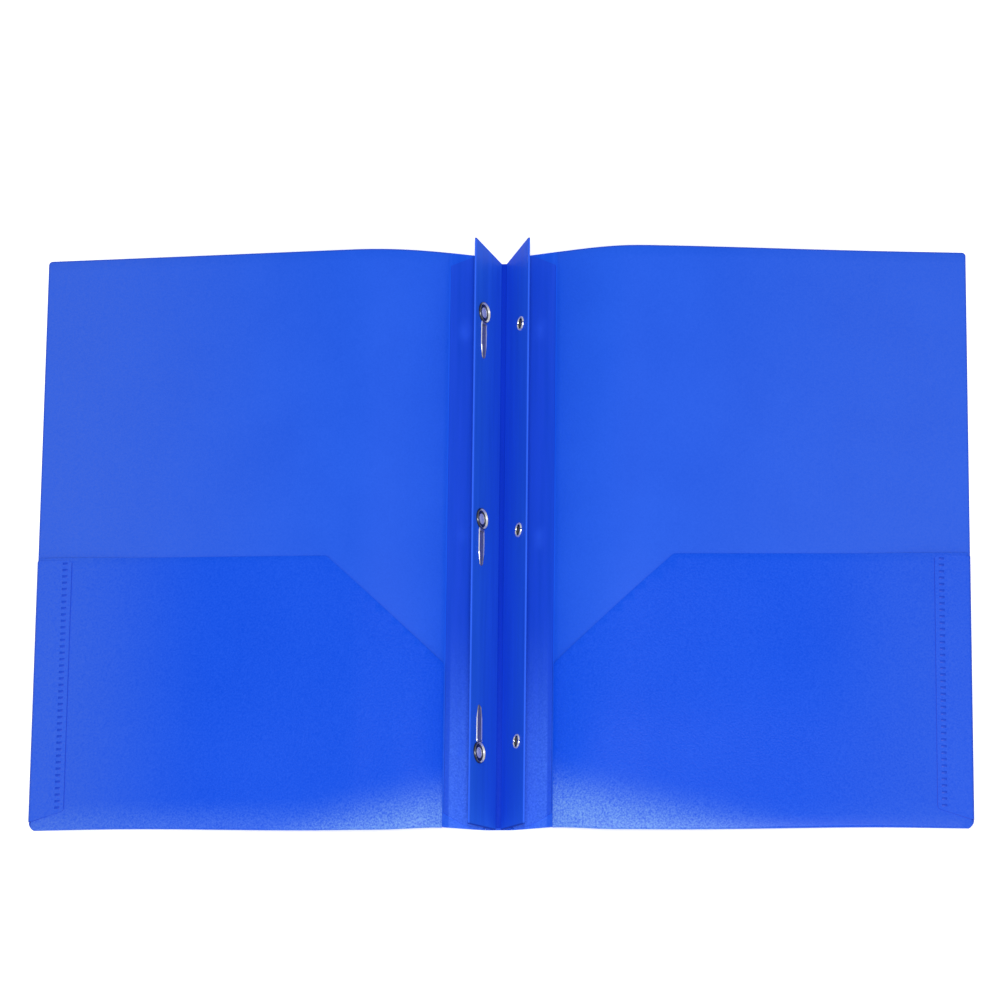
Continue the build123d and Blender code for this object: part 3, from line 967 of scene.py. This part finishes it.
def tang_ring(row, ring_y):
    """The tang's rivet: a domed middle in a groove, a bright steep rim round it, and a rolled back; the
    groove and the foot of the rim are near-black pieces as painted shade.
    """
    outer = tang_ring_diameter / 2
    back = tang_ring_back_diameter / 2
    dish = tang_ring_dish / 2
    crest = tang_ring_crest_share * outer
    wall_foot = crest - tang_ring_wall
    level = wing_face + tang_ring_floor
    groove_level = level - tang_ring_groove
    face = [(share * dish, level + rise) for share, rise in tang_ring_dome]
    face += [(dish, groove_level), (wall_foot, groove_level)]
    rim = bead_points(2 * crest - outer, outer, tang_ring_rise, bead_steps)[bead_steps // 2:]
    under = [(share * back, -wing_face - fall * eyelet_back_rise) for share, fall in tang_ring_back]
    bm = turned_profile([face + rim + under], ring_steps)
    on_wing("left", ring_y, bm)
    made = piece(f"tang_{row}_ring", bm, eyelet_steel)
    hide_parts(f"tang_eyelet_{row}")
    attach(made, "left_wing_body")
    film = tang_ring_shade
    shade_foot = tang_ring_shade_share * dish
    groove = [(shade_foot, level - tang_ring_shade_drop), (dish, groove_level + film)]
    groove += [(wall_foot, groove_level + film), (wall_foot, groove_level - film)]
    groove += [(shade_foot, groove_level - film)]
    skirt = [(crest + tang_ring_skirt_inset, wing_face + tang_ring_rise)]
    skirt += [(outer - tang_ring_skirt_inset, wing_face + tang_ring_skirt_top)]
    skirt += [(outer + film, wing_face + tang_ring_skirt_low), (outer + film, wing_face), (crest, wing_face)]
    dark = turned_profile([groove + groove[:1], skirt + skirt[:1]], ring_steps)
    on_wing("left", ring_y, dark)
    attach(piece(f"tang_{row}_ring_shade", dark, shade_steel), "left_wing_body")


def receiver_rim(row, y):
    """The receiving eyelet: a barrel whose mouth is split and rolled over in lobes."""
    outer, bore = receiver_diameter / 2, receiver_bore / 2
    mouth, back = wing_face + receiver_barrel_rise, -wing_face - eyelet_back_rise
    barrel = [(bore, back), (bore, mouth), (bore + eyelet_wall, mouth), (bore + eyelet_wall, -wing_face)]
    barrel += [(outer, -wing_face), (receiver_back_share * outer, back)]
    # The barrel is near-black steel, as painted shade in the bore.
    tube = turned_profile([barrel + barrel[:1]], ring_steps)
    on_wing("right", y, tube)
    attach(piece(f"receiver_{row}_barrel", tube, shade_steel), "right_wing_body")
    lobe_turn = 2 * math.pi / receiver_lobes
    bead = bead_points(bore, outer, receiver_rise, lobe_steps)
    bm = bmesh.new()
    edges = chain(bm, [Vector((radius, 0, height)) for radius, height in bead])
    bm.edges.new((edges[-1].verts[1], edges[0].verts[0]))
    bmesh.ops.spin(bm, geom=whole(bm), cent=(0, 0, 0), axis=(0, 0, 1), dvec=(0, 0, 0),
                   angle=lobe_turn - receiver_slit_turn, steps=lobe_steps)
    bmesh.ops.holes_fill(bm, edges=[edge for edge in bm.edges if edge.is_boundary])
    first_lobe = whole(bm)
    for lobe in range(1, receiver_lobes):
        copied = bmesh.ops.duplicate(bm, geom=first_lobe)["geom"]
        turn = Matrix.Rotation(lobe * lobe_turn, 3, "Z")
        bmesh.ops.rotate(bm, cent=(0, 0, 0), matrix=turn, verts=verts_of(copied))
    on_wing("right", y, bm)
    made = piece(f"receiver_{row}_rim", bm, eyelet_steel)
    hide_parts(f"receiving_eyelet_{row}")
    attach(made, "right_wing_body")


def tang_arch(across, half):
    """How far a tang's face stands up at a place across it: nearly flat, with both edges rolled down."""
    return tang_crown * (1 - min(1.0, abs(across) / half) ** tang_edge_power)


def tang_tongue(row, root, way):
    """The steel tongue, with rolled edges, tapered to a round tip."""
    half, tip = tang_width / 2, tang_tip_width / 2
    bm = bmesh.new()
    bmesh.ops.create_grid(bm, x_segments=tongue_steps, y_segments=tongue_cross_steps, size=0.5)
    bmesh.ops.scale(bm, vec=(tang_length, tang_width, 1), verts=bm.verts)
    bmesh.ops.translate(bm, vec=(tang_length / 2, 0, 0), verts=bm.verts)
    neck = tang_length - tang_taper_length
    for hand in (-1, 1):
        taper_way = Vector((tang_taper_length - tip, hand * (tip - half), 0))
        outward = Vector((-hand * taper_way.y, hand * taper_way.x, 0)).normalized()
        trim(bm, Vector((neck, hand * half, 0)), outward)
        for cut in range(1, corner_cuts + 1):
            tangent = outward.slerp(Vector((1, 0, 0)), cut / (corner_cuts + 1))
            trim(bm, Vector((tang_length - tip, 0, 0)) + tip * tangent, tangent)
    taper = (half - tip) / (tang_taper_length - tip)
    for vert in bm.verts:
        vert.co.z += tang_arch(vert.co.y, half - taper * max(0.0, vert.co.x - neck))
    along = Vector((0, way, 0))
    across = -way * left_up
    turn = Matrix((along, across, along.cross(across))).transposed().to_4x4()
    bmesh.ops.transform(bm, matrix=Matrix.Translation(root) @ turn, verts=bm.verts)
    bmesh.ops.recalc_face_normals(bm, faces=bm.faces)
    made = thicken(piece(f"tang_{row}_tongue", bm, tang_steel), tang_thickness, tang_edge_round)
    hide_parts(f"tang_{row}")
    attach(made, f"tang_{row}_body")


def tang_neck(row, root, way):
    """The short steel neck between ring and tongue; on the real tang it bends when the tongue is raised."""
    half = tang_neck_half
    out = -way * left_up.cross(Vector((0, way, 0)))
    start = root - Vector((0, way * tang_neck_back, 0))
    places = [half * (step / neck_steps - 1) for step in range(2 * neck_steps + 1)]
    bm = bmesh.new()
    edges = chain(bm, [start + left_up * across + out * tang_arch(across, half) for across in places])
    carry(bm, edges, Vector((0, way * (tang_neck_back + tang_neck_on), 0)), neck_steps)
    to_solid(bm, tang_neck_thickness)
    made = piece(f"tang_{row}_neck", bm, tang_steel)
    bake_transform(made)


def dress(node, material):
    """Gives a solid of the frame its finish."""
    frame["nodes"][node].data.materials[0] = material


for side in sides:
    cover_sheet(side)
    pocket_flap(side)
    weld_marks(side)
    seam_shadow_line(side)
    sheet_creases(side)
    strip_creases(side)
    dress(f"{side}_hinge_panel", hinge_film)
    dress(f"{side}_seam_tab", tab_film)
    dress(f"{side}_strip_flange", band_films[side])
    dress(f"{side}_wing", wing_films[side])
dress("spine_panel", cover_film)
dress("strip_base", base_shade_film)
spine_fold_ridge()
for row in rows:
    root = Vector(joints[f"tang_{row}_bend"]["pos_m"])
    way = 1 if row == "bottom" else -1
    ring_low, ring_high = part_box(f"tang_eyelet_{row}")
    tang_ring(row, (ring_low.y + ring_high.y) / 2)
    tang_tongue(row, root, way)
    tang_neck(row, root, way)
    receiver_low, receiver_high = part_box(f"receiving_eyelet_{row}")
    receiver_rim(row, (receiver_low.y + receiver_high.y) / 2)


# Floor, light and camera
floor_size = 6.0
floor_drop = 0.1 * MM
floor_glow = 0.3
floor_roughness = 0.9
floor_specular = 0.1
floor_tone_scale = 3.0
world_strength = 0.46
key_place = (0.16, -0.6, 2.3)
key_size = (0.3, 0.8)
key_power = 40
side_out, side_along, side_up = 1.3, -0.2, 1.5
side_size = (1.0, 1.2)
side_power = 1.5
camera_lens = 178.509
camera_sensor = 36.0
camera_place = (0.159331, -0.642959, 2.403178)
camera_turn = (15.4424, 3.6521, 0.6024)


def pale_floor():
    """The plain pale floor under the folder."""
    made, tree, shader, place = material_base("pale_floor", floor_roughness, floor_specular)
    tone = link_in(tree, "ShaderNodeTexNoise", Vector=place, Scale=floor_tone_scale, Detail=2.0)
    color = mix_color(tree, tone.outputs["Fac"], floor_deep, floor_pale)
    tree.links.new(color, shader.inputs["Base Color"])
    shader.inputs["Emission Color"].default_value = (1, 1, 1, 1)
    shader.inputs["Emission Strength"].default_value = floor_glow
    bm = bmesh.new()
    bmesh.ops.create_grid(bm, x_segments=1, y_segments=1, size=floor_size / 2)
    bmesh.ops.translate(bm, vec=(0, 0, -floor_drop), verts=bm.verts)
    mesh = bpy.data.meshes.new("floor")
    bm.to_mesh(mesh)
    bm.free()
    mesh.materials.append(made)
    floor = bpy.data.objects.new("floor", mesh)
    bpy.context.scene.collection.objects.link(floor)


def soft_box(name, place, size, power):
    """A rectangular studio light turned to the folder's middle."""
    light = bpy.data.lights.new(name, "AREA")
    light.shape = "RECTANGLE"
    light.size, light.size_y = size
    light.energy = power
    made = bpy.data.objects.new(name, light)
    made.location = place
    made.rotation_euler = (-Vector(place)).to_track_quat("-Z", "Y").to_euler()
    made.visible_camera = False
    bpy.context.scene.collection.objects.link(made)


def studio():
    """Even white surroundings, a soft light in line with the view, and a weak one at each side."""
    world = bpy.data.worlds.new("studio")
    world.use_nodes = True
    sky = world.node_tree.nodes["Background"]
    sky.inputs["Color"].default_value = (1, 1, 1, 1)
    sky.inputs["Strength"].default_value = world_strength
    bpy.context.scene.world = world
    soft_box("key_box", key_place, key_size, key_power)
    for side, way in sides.items():
        soft_box(f"{side}_box", (side_out * way, side_along, side_up), side_size, side_power)


def camera():
    """The photo's view: long, from nearly straight above."""
    lens = bpy.data.cameras.new("camera")
    lens.lens = camera_lens
    lens.sensor_width = camera_sensor
    made = bpy.data.objects.new("camera", lens)
    made.location = camera_place
    made.rotation_euler = [math.radians(turn) for turn in camera_turn]
    bpy.context.scene.collection.objects.link(made)
    bpy.context.scene.camera = made


pale_floor()
studio()
camera()
bpy.context.scene.view_settings.view_transform = "Standard"
